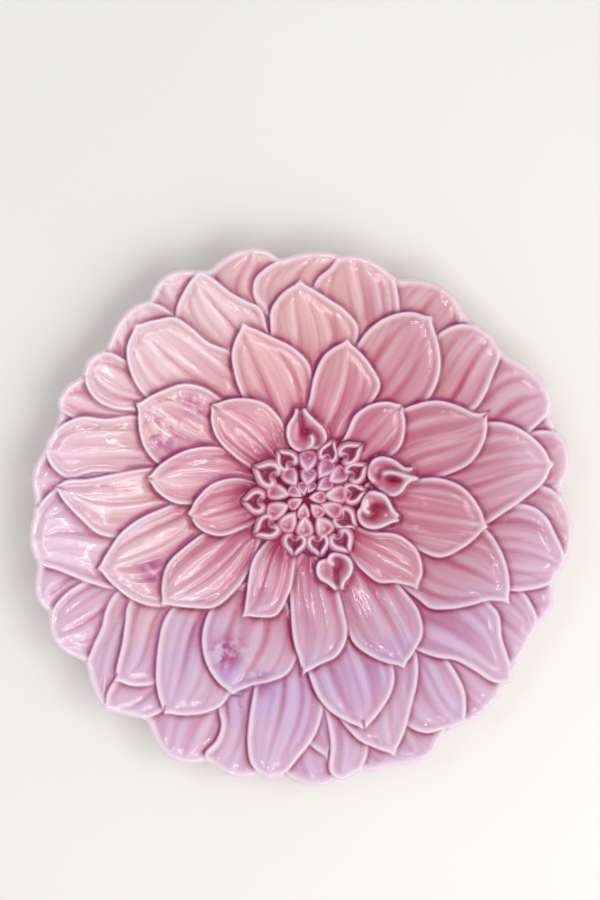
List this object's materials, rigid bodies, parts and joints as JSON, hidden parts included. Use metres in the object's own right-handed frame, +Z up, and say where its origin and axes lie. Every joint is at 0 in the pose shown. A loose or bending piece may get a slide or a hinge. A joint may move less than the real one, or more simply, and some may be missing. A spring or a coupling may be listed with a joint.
{
  "type": "flower-shaped ceramic bowl",
  "caption": "Shallow one-piece glazed bowl moulded in relief as a wide-open dahlia, with overlapping petals, a scalloped rim and a plain foot ring underneath.",
  "frame": {"origin": "centre of the bounding box's footprint, on the table under the foot ring", "axes": "+Z up out of the bowl's mouth, +Y towards the flower's heart, which lies off the middle"},
  "size_m": [0.332, 0.3286, 0.0427],
  "materials": {
    "rose_glaze": "clear glossy glaze over dusty rose, lilac and magenta stain"
  },
  "bodies": {
    "root": {"dahlia_bowl": "rose_glaze"}
  },
  "joints": []
}
